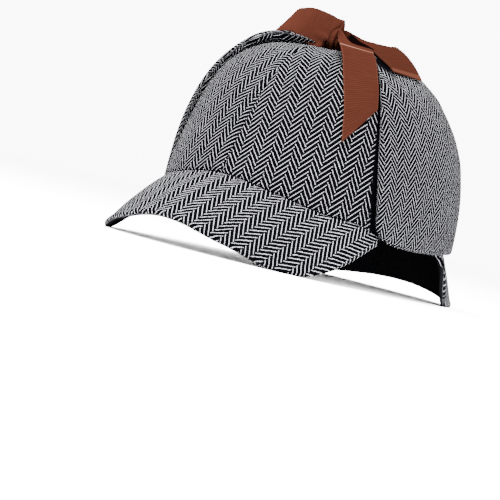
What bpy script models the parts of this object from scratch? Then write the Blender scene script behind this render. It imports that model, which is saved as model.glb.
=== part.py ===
"""Deerstalker hat: six-panel crown, two peaks, ear flaps folded up and tied with a ribbon.

Metres, +Z up. The hat faces -Y, +X is the wearer's left, and it rests on the floor at Z = 0.
Every piece is laid out in the hat's own frame, whose Z = 0 is the rim at the wearer's ears,
and hangs from one empty that lifts the hat to where it rests.
"""

import math

import bmesh
import bpy
import numpy as np
from mathutils import Vector

MM = 0.001

# Crown, measured on the outside of the cloth
CROWN_HALF_LENGTH = 101.5 * MM
CROWN_HALF_WIDTH = 87.0 * MM
CROWN_HEIGHT = 111.7 * MM
CROWN_LEAN = 19.0 * MM  # how far forward of the rim's middle the top sits
CLOTH = 2.0 * MM
PANEL_COUNT = 6
TOP_RADIUS = 0.9 * MM  # the panels' points stop this far from each other's middle
GAP = 0.3 * MM

# Squareness of the crown as seen from above: 2 is an ellipse, higher is squarer
PLAN_FRONT = 2.25
PLAN_BACK = 2.0

# Roundness (higher is boxier) and taper of the crown, as seen from the side and from the front
SHOULDER_FRONT = 2.56
SHOULDER_SIDE = 3.07
SHOULDER_BACK = 2.27
TAPER_FRONT = 0.31
TAPER_SIDE = 0.04
TAPER_BACK = 0.0

# Rim: angle from the centre front in degrees, height over the rim at the ears
RIM_ARCH = (
    (0.0, 19.0 * MM),
    (20.0, 14.7 * MM),
    (40.0, 9.0 * MM),
    (55.0, 7.3 * MM),
    (70.0, 0.6 * MM),
    (95.0, 0.0 * MM),
    (140.0, 8.6 * MM),
    (180.0, 19.0 * MM),
)

# Peaks: angle from the peak's middle in degrees, reach outward, drop below the rim
FRONT_PEAK_SECTIONS = (
    (0.0, 43.6 * MM, 35.3 * MM),
    (20.0, 40.9 * MM, 38.2 * MM),
    (35.0, 35.8 * MM, 41.3 * MM),
    (45.0, 29.0 * MM, 38.6 * MM),
    (55.0, 17.5 * MM, 26.6 * MM),
    (62.0, 6.2 * MM, 11.5 * MM),
    (65.0, 2.2 * MM, 5.0 * MM),
)
REAR_PEAK_SECTIONS = (
    (0.0, 27.0 * MM, 41.5 * MM),
    (20.0, 24.0 * MM, 41.5 * MM),
    (35.0, 17.0 * MM, 41.0 * MM),
    (48.0, 10.5 * MM, 38.6 * MM),
    (56.0, 7.8 * MM, 34.8 * MM),
    (62.0, 6.0 * MM, 24.0 * MM),
    (65.0, 4.0 * MM, 9.0 * MM),
)
PEAK_THICK = 3.0 * MM
PEAK_CAMBER = 2.2 * MM  # bow of the cloth between root and edge
FULL_CAMBER_REACH = 20.0 * MM  # a peak that reaches out less is bowed less
PEAK_ROUNDING = 1.0 * MM
FRONT_PEAK_FAN = 0.34  # 0 reaches straight ahead, 1 straight away from the crown
REAR_PEAK_FAN = 0.9
ROOT_INSET = 1.0 * MM  # how far under the rim a peak starts

# Ear flaps: share of the crown's height, angle of the front edge and of the rear edge
FLAP_EDGES = (
    (0.0, 60.8, 124.0),
    (0.17, 58.8, 126.5),
    (0.44, 57.3, 128.0),
    (0.69, 59.3, 126.0),
    (0.80, 61.5, 124.0),
    (0.89, 66.0, 120.0),
    (0.97, 74.0, 114.0),
    (1.0, 84.0, 106.0),
)
FLAP_THICK = 5.4 * MM
FLAP_CLEARANCE = 0.4 * MM
FLAP_TIP_RADIUS = 15.0 * MM
FLAP_ROUNDING = 1.6 * MM
FLAP_SAG = 2.0 * MM  # its fold hangs level where the rim rises more than this
SAG_LEVEL = 0.25  # level where the sag ends
FLAP_LIFT = 2.6 * MM  # how far the ribbon draws its tip up off the crown
FLAP_LIFT_FROM = 0.82  # level where the lift starts

# Ribbon
RIBBON_WIDTH = 25.0 * MM
RIBBON_THICK = 1.0 * MM
KNOT_CENTRE = (-0.5 * MM, -17.5 * MM, 118.9 * MM)
KNOT_SIZE = (10.5 * MM, 9.5 * MM, 13.5 * MM)
KNOT_ROUNDNESS = 0.7  # 0 is a block, 1 a ball
KNOT_BALL_RADIUS = 0.56  # share of the knot's size
TAIL_CUT = 20.0 * MM  # the slanting end is this much longer on one side
CUT_SHARPNESS = 8  # higher keeps the slant closer to the end

# Ribbon stations in the hat's frame: middle (x, y, z), direction across (x, y, z), share of the width
RIBBON_LEFT_STATIONS = (
    (65.5, -21.0, 101.0, 0.14, 1.0, 0.03, 1.0),
    (63.4, -20.0, 107.0, 0.14, 1.0, 0.05, 1.0),
    (57.0, -18.5, 114.6, 0.12, 1.0, 0.06, 1.0),
    (46.5, -17.0, 119.6, 0.08, 1.0, 0.08, 1.0),
    (32.0, -14.5, 122.4, 0.0, 1.0, 0.10, 0.9),
    (17.0, -13.5, 123.0, 0.0, 1.0, 0.12, 0.6),
    (6.4, -15.8, 121.4, 0.0, 1.0, 0.2, 0.34),
)
RIBBON_RIGHT_STATIONS = (
    (-65.5, -21.0, 101.0, -0.14, 1.0, 0.03, 1.0),
    (-60.3, -21.5, 106.7, -0.14, 1.0, 0.05, 1.0),
    (-53.2, -22.5, 112.2, -0.10, 1.0, 0.12, 1.0),
    (-45.5, -23.0, 117.8, -0.05, 0.95, 0.30, 1.0),
    (-38.0, -22.5, 124.6, 0.0, 0.80, 0.60, 0.97),
    (-29.0, -21.5, 126.6, 0.05, 0.55, 0.83, 0.97),
    (-20.0, -20.2, 125.2, 0.08, 0.38, 0.92, 1.0),
    (-12.0, -18.9, 124.6, 0.12, 0.30, 0.95, 0.95),
    (-6.4, -17.9, 122.8, 0.20, 0.25, 0.95, 0.75),
)
RIBBON_TAIL_STATIONS = (
    (4.6, -24.4, 118.8, 0.90, 0.50, -0.10, 0.45),
    (13.0, -30.0, 118.9, 0.85, 0.52, -0.05, 0.70),
    (24.0, -35.9, 117.8, 0.83, 0.56, -0.04, 0.88),
    (33.4, -41.5, 115.4, 0.78, 0.62, -0.02, 0.90),
    (40.9, -47.4, 110.9, 0.68, 0.72, 0.12, 0.90),
    (46.1, -52.0, 105.4, 0.60, 0.78, 0.22, 0.90),
    (51.9, -55.3, 96.3, 0.60, 0.77, 0.25, 0.90),
    (56.2, -56.9, 86.4, 0.60, 0.77, 0.25, 0.90),
    (59.8, -58.6, 78.4, 0.60, 0.77, 0.25, 0.90),
    (64.3, -60.8, 66.0, 0.60, 0.77, 0.25, 0.90),
)

# Where the hat rests: height of the ears' rim over the floor
RIM_LIFT = 30.3 * MM

# Mesh fineness
PANEL_COLUMNS = 8
PANEL_ROWS = 14
PEAK_COLUMNS = 32
PEAK_ROWS = 5
FLAP_COLUMNS = 12
FLAP_ROWS = 16
RIBBON_COLUMNS = 4
RIBBON_ROWS = 20
SIDE_SAMPLES = 4000  # points that measure the crown's side
SIDE_ANGLE = math.radians(60.0)  # where the crown's side is measured
SHARP_ANGLE = math.radians(50.0)
SHARE_STEP = 1.0e-3  # step that finds a direction along a surface

TWEED = ("tweed", (0.16, 0.16, 0.17), 0.95)
GROSGRAIN = ("grosgrain", (0.20, 0.065, 0.035), 0.75)


def clear_scene():
    """Remove every object of the starting scene."""
    for item in list(bpy.data.objects):
        bpy.data.objects.remove(item, do_unlink=True)


def make_material(piece, finish):
    """Give a piece its own material, from a finish of (name, colour, roughness)."""
    name, colour, roughness = finish
    material = bpy.data.materials.new(f"{piece}_{name}")
    material.use_nodes = True
    shader = material.node_tree.nodes["Principled BSDF"]
    shader.inputs["Base Color"].default_value = (*colour, 1.0)
    shader.inputs["Roughness"].default_value = roughness
    shader.inputs["Metallic"].default_value = 0.0
    return material


def read_table(table, where, column, level_ends=""):
    """Smooth value of a table's column at one place along its first column.

    level_ends names the ends where the curve runs level: "first", "both" or neither.
    """
    places = np.array([row[0] for row in table])
    values = np.array([row[column] for row in table])
    where = min(max(where, places[0]), places[-1])
    slopes = np.gradient(values, places)
    if level_ends:
        slopes[0] = 0.0
    if level_ends == "both":
        slopes[-1] = 0.0
    step = min(int(np.searchsorted(places, where, side="right")), len(places) - 1)
    left, right = step - 1, step
    span = places[right] - places[left]
    t = (where - places[left]) / span
    rise = (2 * t**3 - 3 * t**2 + 1) * values[left] + (3 * t**2 - 2 * t**3) * values[right]
    bend = (t**3 - 2 * t**2 + t) * slopes[left] + (t**3 - t**2) * slopes[right]
    return float(rise + bend * span)


def rim_height(angle):
    """Height of the rim at an angle in radians from the centre front."""
    degrees = abs((math.degrees(angle) + 180.0) % 360.0 - 180.0)
    return read_table(RIM_ARCH, degrees, 1, level_ends="both")


def between(front, side, back, angle):
    """Blend a front, side and back value at an angle from the centre front."""
    end = front if math.cos(angle) > 0.0 else back
    return side + (end - side) * math.cos(angle) ** 2


def crown_point(angle, level, swell=0.0):
    """Point of the crown at an angle and a share of its height, swollen outward by a distance."""
    half_length = CROWN_HALF_LENGTH + swell
    half_width = CROWN_HALF_WIDTH + swell
    top = CROWN_HEIGHT + swell
    power = between(SHOULDER_FRONT, SHOULDER_SIDE, SHOULDER_BACK, angle)
    taper = between(TAPER_FRONT, TAPER_SIDE, TAPER_BACK, angle)
    plan = PLAN_FRONT if math.cos(angle) > 0.0 else PLAN_BACK
    ahead = abs(math.cos(angle)) / half_length
    aside = abs(math.sin(angle)) / half_width
    radius = (ahead**plan + aside**plan) ** (-1.0 / plan)
    radius *= max(1.0 - level**power, 0.0) ** (1.0 / power) * (1.0 - taper * level)
    foot = rim_height(angle)
    return Vector((
        radius * math.sin(angle),
        -radius * math.cos(angle) - CROWN_LEAN * level**2,
        foot + (top - foot) * level,
    ))


def crown_levels(tip_radius):
    """Levels from the rim to a radius near the top, evenly spread along the crown's side."""
    levels = 1.0 - np.linspace(1.0, 0.0, SIDE_SAMPLES) ** 4
    points = np.array([crown_point(SIDE_ANGLE, level) for level in levels])
    steps = np.linalg.norm(np.diff(points, axis=0), axis=1)
    lengths = np.concatenate(([0.0], np.cumsum(steps)))
    from_top = np.hypot(points[:, 0], points[:, 1] + CROWN_LEAN)
    reached = int(np.argmax((from_top < tip_radius) & (levels > 0.5)))
    return levels[: reached + 1], lengths[: reached + 1] / lengths[reached]


def level_at(spread, share):
    """Level at a share of the way up the crown's side."""
    levels, shares = spread
    return float(np.interp(share, shares, levels))


def laid_solid(name, columns, rows, place, finish, parent, rounding=0.0, segments=2):
    """Closed body from a grid extruded one layer, each point laid where place(u, v, w) says.

    u runs across, v along and w through the thickness, each from 0 to 1.
    """
    shape = bmesh.new()
    bmesh.ops.create_grid(shape, x_segments=columns, y_segments=rows, size=0.5)
    bmesh.ops.translate(shape, verts=shape.verts, vec=(0.5, 0.5, 0.0))
    grown = bmesh.ops.extrude_face_region(shape, geom=shape.faces[:])
    layer = [item for item in grown["geom"] if isinstance(item, bmesh.types.BMVert)]
    bmesh.ops.translate(shape, verts=layer, vec=(0.0, 0.0, 1.0))
    rims = [edge for edge in shape.edges if abs(edge.calc_face_angle(0.0)) > 1.0]
    for vert in shape.verts:
        vert.co = place(*vert.co)
    bmesh.ops.recalc_face_normals(shape, faces=shape.faces)
    if rounding:
        bmesh.ops.bevel(
            shape, geom=rims, offset=rounding, segments=segments, profile=0.5,
            affect="EDGES", clamp_overlap=True, material=-1,
        )
    return add_piece(name, shape, finish, parent)


def add_piece(name, shape, finish, parent):
    """Turn a finished bmesh into a named object with its material, hung from its parent."""
    if shape.calc_volume(signed=True) < 0.0:
        bmesh.ops.reverse_faces(shape, faces=shape.faces)
    mesh = bpy.data.meshes.new(name)
    shape.to_mesh(mesh)
    shape.free()
    mesh.materials.append(make_material(name, finish))
    mesh.shade_smooth()
    mesh.set_sharp_from_angle(angle=SHARP_ANGLE)
    piece = bpy.data.objects.new(name, mesh)
    piece.parent = parent
    bpy.context.scene.collection.objects.link(piece)
    return piece


def build_panel(index, parent):
    """One crown panel, a cloth gore from the rim to the top."""
    spread = crown_levels(TOP_RADIUS)
    wedge = 2.0 * math.pi / PANEL_COUNT
    start = index * wedge

    def place(across, along, through):
        level = level_at(spread, along)
        swell = -CLOTH * through
        seam = crown_point(start + wedge / 2.0, level, swell)
        radius = math.hypot(seam.x, seam.y + CROWN_LEAN * level**2)
        inset = 0.5 * GAP / max(radius, TOP_RADIUS / 2.0)
        angle = start + inset + (wedge - 2.0 * inset) * across
        return crown_point(angle, level, swell)

    laid_solid(f"crown_panel_{index + 1}", PANEL_COLUMNS, PANEL_ROWS, place, TWEED, parent)


def peak_middle(sections, fan, centre, across, along):
    """Point on a peak's middle surface, from its root under the rim to its free edge."""
    limit = sections[-1][0]
    offset = (2.0 * across - 1.0) * limit
    angle = centre + math.radians(offset)
    reach = read_table(sections, abs(offset), 1, level_ends="first")
    drop = read_table(sections, abs(offset), 2, level_ends="first")
    slope = math.atan2(drop, reach)
    heading = centre + math.radians(offset) * fan
    ahead = Vector((math.sin(heading), -math.cos(heading), 0.0))
    rim = crown_point(angle, 0.0)
    half = 0.5 * PEAK_THICK
    inward = Vector((math.sin(angle), -math.cos(angle), 0.0)) * (ROOT_INSET + half * math.sin(slope))
    root = rim - inward - Vector((0.0, 0.0, GAP + half * math.cos(slope)))
    edge = rim + ahead * reach - Vector((0.0, 0.0, drop))
    edge += (ahead * math.sin(slope) + Vector((0.0, 0.0, math.cos(slope)))) * half
    camber = PEAK_CAMBER * min(1.0, reach / FULL_CAMBER_REACH) * 4.0 * along * (1.0 - along)
    bow = (ahead * math.sin(slope) + Vector((0.0, 0.0, math.cos(slope)))) * camber
    return root.lerp(edge, along) + bow


def build_peak(name, sections, fan, centre, parent):
    """A peak: a stiff sheet of even thickness, cut level where it stands on the floor."""

    def place(across, along, through):
        def middle(u, v):
            return peak_middle(sections, fan, centre, u, v)

        point = middle(across, along)
        low, high = max(across - SHARE_STEP, 0.0), min(across + SHARE_STEP, 1.0)
        sideways = middle(high, along) - middle(low, along)
        outward = middle(across, along + SHARE_STEP) - middle(across, along - SHARE_STEP)
        normal = outward.cross(sideways).normalized()
        if normal.z < 0.0:
            normal.negate()
        return point + normal * PEAK_THICK * (0.5 - through)

    piece = laid_solid(
        name, PEAK_COLUMNS, PEAK_ROWS, place, TWEED, parent, rounding=PEAK_ROUNDING,
    )
    cut_level(piece, -RIM_LIFT)


def cut_level(piece, height):
    """Cut a piece off flat at a height in the hat's frame and close the cuts."""
    shape = bmesh.new()
    shape.from_mesh(piece.data)
    everything = shape.verts[:] + shape.edges[:] + shape.faces[:]
    bmesh.ops.bisect_plane(
        shape, geom=everything, plane_co=(0.0, 0.0, height), plane_no=(0.0, 0.0, 1.0),
        clear_inner=True, dist=1.0e-6,
    )
    open_edges = [edge for edge in shape.edges if edge.is_boundary]
    bmesh.ops.edgeloop_fill(shape, edges=open_edges)
    bmesh.ops.recalc_face_normals(shape, faces=shape.faces)
    shape.to_mesh(piece.data)
    shape.free()


def build_flap(name, side, parent):
    """An ear flap, padded and folded up flat against the crown; side is 1 for the wearer's left."""
    spread = crown_levels(FLAP_TIP_RADIUS)

    def place(across, along, through):
        level = level_at(spread, along)
        front = read_table(FLAP_EDGES, level, 1)
        rear = read_table(FLAP_EDGES, level, 2)
        angle = math.radians(front + (rear - front) * across)
        lift = FLAP_LIFT * (max(level - FLAP_LIFT_FROM, 0.0) / (1.0 - FLAP_LIFT_FROM)) ** 2
        swell = FLAP_CLEARANCE + lift + FLAP_THICK * (1.0 - through)
        point = crown_point(angle, level, swell)
        sag = max(rim_height(angle) - FLAP_SAG, 0.0)
        point.z -= sag * (1.0 - min(level / SAG_LEVEL, 1.0)) * (1.0 - through)
        point.x *= side
        return point

    laid_solid(name, FLAP_COLUMNS, FLAP_ROWS, place, TWEED, parent, rounding=FLAP_ROUNDING)


def ribbon_frame(stations, along):
    """Middle, direction across and width share of a ribbon at a share of its length."""
    points = np.array([row[:3] for row in stations]) * MM
    steps = np.linalg.norm(np.diff(points, axis=0), axis=1)
    lengths = np.concatenate(([0.0], np.cumsum(steps)))
    where = along * lengths[-1]
    table = [(length, *row) for length, row in zip(lengths, stations)]
    values = [read_table(table, where, column) for column in range(1, 8)]
    middle = Vector(values[:3]) * MM
    return middle, Vector(values[3:6]).normalized(), values[6]


def build_ribbon(name, stations, parent, cut=0.0):
    """A length of ribbon through its stations; cut slants its last end."""

    def place(across, along, through):
        middle, crosswise, share = ribbon_frame(stations, along)
        ahead = ribbon_frame(stations, min(along + SHARE_STEP, 1.0))[0]
        ahead -= ribbon_frame(stations, max(along - SHARE_STEP, 0.0))[0]
        ahead.normalize()
        crosswise = (crosswise - ahead * crosswise.dot(ahead)).normalized()
        normal = ahead.cross(crosswise)
        slant = ahead * cut * (0.5 - across) * along**CUT_SHARPNESS
        sideways = crosswise * RIBBON_WIDTH * share * (across - 0.5)
        return middle + sideways + slant + normal * RIBBON_THICK * (0.5 - through)

    laid_solid(name, RIBBON_COLUMNS, RIBBON_ROWS, place, GROSGRAIN, parent)


def build_knot(parent):
    """The knot: a small rounded lump that the ribbons run into."""
    shape = bmesh.new()
    bmesh.ops.create_cube(shape, size=1.0)
    bmesh.ops.subdivide_edges(shape, edges=shape.edges[:], cuts=2, use_grid_fill=True)
    for vert in shape.verts:
        vert.co = vert.co.lerp(vert.co.normalized() * KNOT_BALL_RADIUS, KNOT_ROUNDNESS)
    bmesh.ops.scale(shape, verts=shape.verts, vec=KNOT_SIZE)
    bmesh.ops.translate(shape, verts=shape.verts, vec=KNOT_CENTRE)
    add_piece("ribbon_knot", shape, GROSGRAIN, parent)


def world_bounds(pieces):
    """Lowest and highest world corner of the pieces."""
    bpy.context.view_layer.update()
    corners = [piece.matrix_world @ vert.co for piece in pieces for vert in piece.data.vertices]
    table = np.array(corners)
    return table.min(axis=0), table.max(axis=0)


def build_hat():
    """Build every piece under one empty and set the hat down over the origin."""
    clear_scene()
    hat = bpy.data.objects.new("hat", None)
    bpy.context.scene.collection.objects.link(hat)
    for index in range(PANEL_COUNT):
        build_panel(index, hat)
    build_peak("front_peak", FRONT_PEAK_SECTIONS, FRONT_PEAK_FAN, 0.0, hat)
    build_peak("rear_peak", REAR_PEAK_SECTIONS, REAR_PEAK_FAN, math.pi, hat)
    build_flap("ear_flap_left", 1.0, hat)
    build_flap("ear_flap_right", -1.0, hat)
    build_ribbon("ribbon_left", RIBBON_LEFT_STATIONS, hat)
    build_ribbon("ribbon_right", RIBBON_RIGHT_STATIONS, hat)
    build_ribbon("ribbon_tail", RIBBON_TAIL_STATIONS, hat, cut=TAIL_CUT)
    build_knot(hat)
    low, high = world_bounds(hat.children)
    middle = (low + high) / 2.0
    hat.location = (-middle[0], -middle[1], RIM_LIFT)
    bpy.context.view_layer.update()


build_hat()
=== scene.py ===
"""Tweed deerstalker hat with its ear flaps tied up over the crown, as it looks.

Metres, +Z up. The hat faces -Y, +X is the wearer's left and it rests on the floor at Z = 0.
Shapes are laid out in the hat's own frame, whose Z = 0 is the rim at the wearer's ears.
"""

import logging
import math
from collections.abc import Callable
from dataclasses import dataclass
from enum import Enum

import bmesh
import bpy
import numpy as np
from mathutils import Matrix, Vector


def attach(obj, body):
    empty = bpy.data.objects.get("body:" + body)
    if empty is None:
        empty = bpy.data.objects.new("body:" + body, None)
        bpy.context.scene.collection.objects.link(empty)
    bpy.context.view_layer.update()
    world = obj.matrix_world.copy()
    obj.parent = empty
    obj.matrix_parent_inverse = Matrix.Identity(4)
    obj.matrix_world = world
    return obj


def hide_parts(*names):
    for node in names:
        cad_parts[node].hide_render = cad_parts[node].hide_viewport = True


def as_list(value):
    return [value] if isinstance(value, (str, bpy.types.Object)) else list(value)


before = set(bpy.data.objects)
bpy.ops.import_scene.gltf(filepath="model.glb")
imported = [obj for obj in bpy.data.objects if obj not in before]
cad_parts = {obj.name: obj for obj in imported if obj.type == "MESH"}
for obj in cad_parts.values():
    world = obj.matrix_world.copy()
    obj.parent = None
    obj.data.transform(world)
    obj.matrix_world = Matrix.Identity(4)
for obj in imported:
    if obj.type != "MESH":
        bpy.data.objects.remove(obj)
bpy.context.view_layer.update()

MM = 0.001
TURN = 2.0 * math.pi
HAT_ORIGIN = np.array([0.0, 8.05 * MM, 30.3 * MM])  # the hat's own frame in the world
GAP = 0.03 * MM  # between pieces that are sewn together
RIBBON_WIDTH = 25.0 * MM
THIN_EDGE = 0.12  # share of its thickness that cloth keeps at a rounded edge
SHARP_ANGLE = math.radians(70.0)  # edges that turn by more stay sharp

log = logging.getLogger("deerstalker")

Array = np.ndarray
Place = Callable[[Array, Array, Array], Array]
Weave = Callable[[Array, Array], Array]
Surface = Callable[..., Array]
Pair = tuple[float, float]
Socket = bpy.types.NodeSocket
Material = bpy.types.Material
Piece = bpy.types.Object


class Slot(Enum):
    """Material slots of the record."""

    CROWN = "tweed"
    PEAK = "peak_tweed"
    FLAP = "flap_tweed"
    RIBBON = "ribbon"


class Side(Enum):
    """The wearer's left and right."""

    LEFT = 1.0
    RIGHT = -1.0


# ---- Curves and small shape helpers ----


class Curve:
    """Smooth curve through the rows of a short table."""

    def __init__(self, table: tuple, column: int = 1, level_ends: str = "") -> None:
        """Read one column of a table against its first.

        Args:
            table: rows of numbers, rising in the first column.
            column: the column to read.
            level_ends: ends where the curve runs level: "first", "both" or neither.
        """
        self.places = np.array([row[0] for row in table], dtype=float)
        self.values = np.array([row[column] for row in table], dtype=float)
        self.slopes = np.gradient(self.values, self.places)
        if level_ends:
            self.slopes[0] = 0.0
        if level_ends == "both":
            self.slopes[-1] = 0.0

    def at(self, where: Array) -> Array:
        """Value of the curve at each place, held at its ends beyond them."""
        where = np.clip(where, self.places[0], self.places[-1])
        right = np.clip(np.searchsorted(self.places, where, side="right"), 1, len(self.places) - 1)
        left = right - 1
        span = self.places[right] - self.places[left]
        t = (where - self.places[left]) / span
        rise = (2 * t**3 - 3 * t**2 + 1) * self.values[left] + (3 * t**2 - 2 * t**3) * self.values[right]
        bend = (t**3 - 2 * t**2 + t) * self.slopes[left] + (t**3 - t**2) * self.slopes[right]
        return rise + bend * span


def capped(values: Array) -> Array:
    """Values held between 0 and 1."""
    return np.clip(values, 0.0, 1.0)


def between(values: Array, start: float, end: float) -> Array:
    """How far the values have come from a start to an end, 0 to 1."""
    return capped((values - start) / (end - start))


def unit(vectors: Array) -> Array:
    """Vectors scaled to a length of one."""
    return vectors / np.linalg.norm(vectors, axis=-1, keepdims=True)


def spread_to_edges(share: Array, strength: float) -> Array:
    """Move even shares from 0 to 1 closer to both ends, more so with more strength."""
    return (1.0 - strength) * share + strength * (0.5 - 0.5 * np.cos(math.pi * share))


def crowded(u: Array, v: Array, strengths: Pair) -> tuple[Array, Array]:
    """Places on a cloth, moved closer to its sides and its ends."""
    return spread_to_edges(u, strengths[0]), spread_to_edges(v, strengths[1])


def ripple(x: Array, y: Array, seed: int) -> Array:
    """Soft unevenness of cloth between about -1 and 1, at places in metres."""
    rng = np.random.default_rng(seed)
    waves = (45.0, 31.0, 22.0, 17.0)  # lengths in millimetres, the long ones the highest
    total = np.zeros(np.broadcast(x, y).shape)
    for length in waves:
        heading, phase = rng.uniform(0.0, TURN, 2)
        along = (x * math.cos(heading) + y * math.sin(heading)) / (length * MM)
        total += np.sin(TURN * along + phase) * length
    return total / (2.0 * waves[0])


# ---- Finishes ----


@dataclass(frozen=True)
class Signal:
    """A value that runs between shader nodes and is reckoned with like a number."""

    board: "ShaderBoard"
    socket: Socket

    def __add__(self, other: "Signal | float") -> "Signal":
        """Sum."""
        return self.board.math("ADD", self, other)

    def __sub__(self, other: "Signal | float") -> "Signal":
        """Difference."""
        return self.board.math("SUBTRACT", self, other)

    def __mul__(self, other: "Signal | float") -> "Signal":
        """Product."""
        return self.board.math("MULTIPLY", self, other)

    def __truediv__(self, other: float) -> "Signal":
        """Share."""
        return self.board.math("DIVIDE", self, other)

    def __abs__(self) -> "Signal":
        """Size without sign."""
        return self.board.math("ABSOLUTE", self)

    def rest(self) -> "Signal":
        """What is left to one."""
        return self.board.math("SUBTRACT", 1.0, self)

    def pingpong(self, reach: float) -> "Signal":
        """The value folded back and forth between 0 and a reach."""
        return self.board.math("PINGPONG", self, reach)

    def ramp(self, low: float, high: float, to_low: float = 0.0, to_high: float = 1.0) -> "Signal":
        """The value's range moved smoothly to another and held at its ends."""
        node = self.board.node("MapRange", self, low, high, to_low, to_high)
        node.interpolation_type = "SMOOTHSTEP"
        return Signal(self.board, node.outputs["Result"])

    def fall(self, low: float, high: float) -> "Signal":
        """One below a range, falling smoothly to nothing beyond it."""
        return self.ramp(low, high, 1.0, 0.0)


Value = Signal | float
Colour = Signal | tuple


class ShaderBoard:
    """A new material with short calls to add and join its nodes."""

    def __init__(self, name: str) -> None:
        """Start a material with its Principled shader."""
        self.material = bpy.data.materials.new(name)
        self.material.use_nodes = True
        self.tree = self.material.node_tree
        self.shader = self.tree.nodes["Principled BSDF"]

    def feed(self, socket: Socket, value: Value | tuple) -> None:
        """Join a socket to a signal, or set its constant."""
        if isinstance(value, Signal):
            self.tree.links.new(value.socket, socket)
        else:
            socket.default_value = value

    def node(self, kind: str, *values: Value | tuple) -> bpy.types.Node:
        """A new node of a kind, with its first sockets fed."""
        node = self.tree.nodes.new(f"ShaderNode{kind}")
        for socket, value in zip(node.inputs, values):
            self.feed(socket, value)
        return node

    def math(self, operation: str, *values: Value) -> Signal:
        """Result of a math node."""
        node = self.node("Math", *values)
        node.operation = operation
        return Signal(self, node.outputs[0])

    def vector_math(self, operation: str, first: Signal, second: tuple = (0.0, 0.0, 0.0)) -> Signal:
        """Result of a vector math node with a constant."""
        node = self.node("VectorMath", first, second)
        node.operation = operation
        return Signal(self, node.outputs["Vector" if operation == "SUBTRACT" else "Value"])

    def parts(self, vector: Signal) -> list[Signal]:
        """X, Y and Z of a vector."""
        return [Signal(self, socket) for socket in self.node("SeparateXYZ", vector).outputs]

    def weave_uv(self) -> list[Signal]:
        """The piece's weave coordinates in metres, across and along the warp."""
        mapped = self.node("UVMap")
        mapped.uv_map = "weave"
        return self.parts(Signal(self, mapped.outputs["UV"]))[:2]

    def object_point(self) -> Signal:
        """Object coordinates."""
        return Signal(self, self.node("TexCoord").outputs["Object"])

    def joined(self, x: Signal, y: Signal) -> Signal:
        """A vector of two parts."""
        return Signal(self, self.node("CombineXYZ", x, y).outputs[0])

    def grey(self, tone: Value) -> Signal:
        """A grey of one tone."""
        return Signal(self, self.node("CombineColor", tone, tone, tone).outputs[0])

    def noise(self, where: Signal, scale: float, detail: float = 2.0) -> Signal:
        """Noise from 0 to 1."""
        node = self.node("TexNoise", where)
        node.inputs["Scale"].default_value = scale
        node.inputs["Detail"].default_value = detail
        return Signal(self, node.outputs["Fac"])

    def mix(self, share: Value, first: Colour, second: Colour, how: str = "MIX") -> Signal:
        """Mix of two colours."""
        node = self.node("Mix", share)
        node.data_type = "RGBA"
        node.blend_type = how
        colours = [socket for socket in node.inputs if socket.type == "RGBA"]
        self.feed(colours[0], first)
        self.feed(colours[1], second)
        return Signal(self, next(socket for socket in node.outputs if socket.type == "RGBA"))

    def bump(self, height: Signal, distance: float, strength: float) -> None:
        """Raise the surface by a height of 0 to 1 times a distance."""
        node = self.node("Bump")
        node.inputs["Distance"].default_value = distance
        node.inputs["Strength"].default_value = strength
        self.feed(node.inputs["Height"], height)
        self.tree.links.new(node.outputs["Normal"], self.shader.inputs["Normal"])

    def dressed(self, colour: Signal, roughness: float, specular: float = 0.0) -> Material:
        """The finished material."""
        self.feed(self.shader.inputs["Base Color"], colour)
        self.shader.inputs["Roughness"].default_value = roughness
        self.shader.inputs["Specular IOR Level"].default_value = specular
        return self.material


@dataclass(frozen=True)
class PaintedCreaseShade:
    """Painted shade: a dark line where the flaps' front edges stand off the crown, in the hat's own frame.
    """

    front: float = -51.8 * MM  # Y of its foremost point
    height: float = 42.0 * MM  # Z of its foremost point
    bow: float = 3.0  # how fast it runs back from there, per metre
    width: float = 8.0 * MM
    top: float = 98.0 * MM
    soft: float = 0.5 * MM
    fade: float = 8.0 * MM  # height over which it ends at the top

    def share(self, board: ShaderBoard) -> Signal:
        """How deep a point lies in the painted shade of the crease, 0 to 1."""
        point = board.vector_math("SUBTRACT", board.object_point(), tuple(HAT_ORIGIN))
        y, z = board.parts(point)[1:]
        rise = z - self.height
        beyond = y - (rise * rise * self.bow + self.front)
        share = beyond.ramp(-self.soft, self.soft) * beyond.fall(self.width - 2.0 * self.soft, self.width)
        return share * z.fall(self.top - self.fade, self.top)


@dataclass(frozen=True)
class ShadedPatch:
    """Patch of cloth in deep shade, drawn out along one direction."""

    middle: tuple[float, float, float]  # in the scene's frame
    along: tuple[float, float, float]  # unit direction
    reach: float = 5.2 * MM
    stretch: float = 0.8

    def share(self, board: ShaderBoard) -> Signal:
        """How deep a point lies in the patch, 0 to 1."""
        offset = board.vector_math("SUBTRACT", board.object_point(), self.middle)
        whole = board.vector_math("LENGTH", offset)
        ahead = board.vector_math("DOT_PRODUCT", offset, self.along)
        away = board.math("SQRT", whole * whole - ahead * ahead * self.stretch)
        return away.fall(0.6 * self.reach, 1.5 * self.reach)


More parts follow.
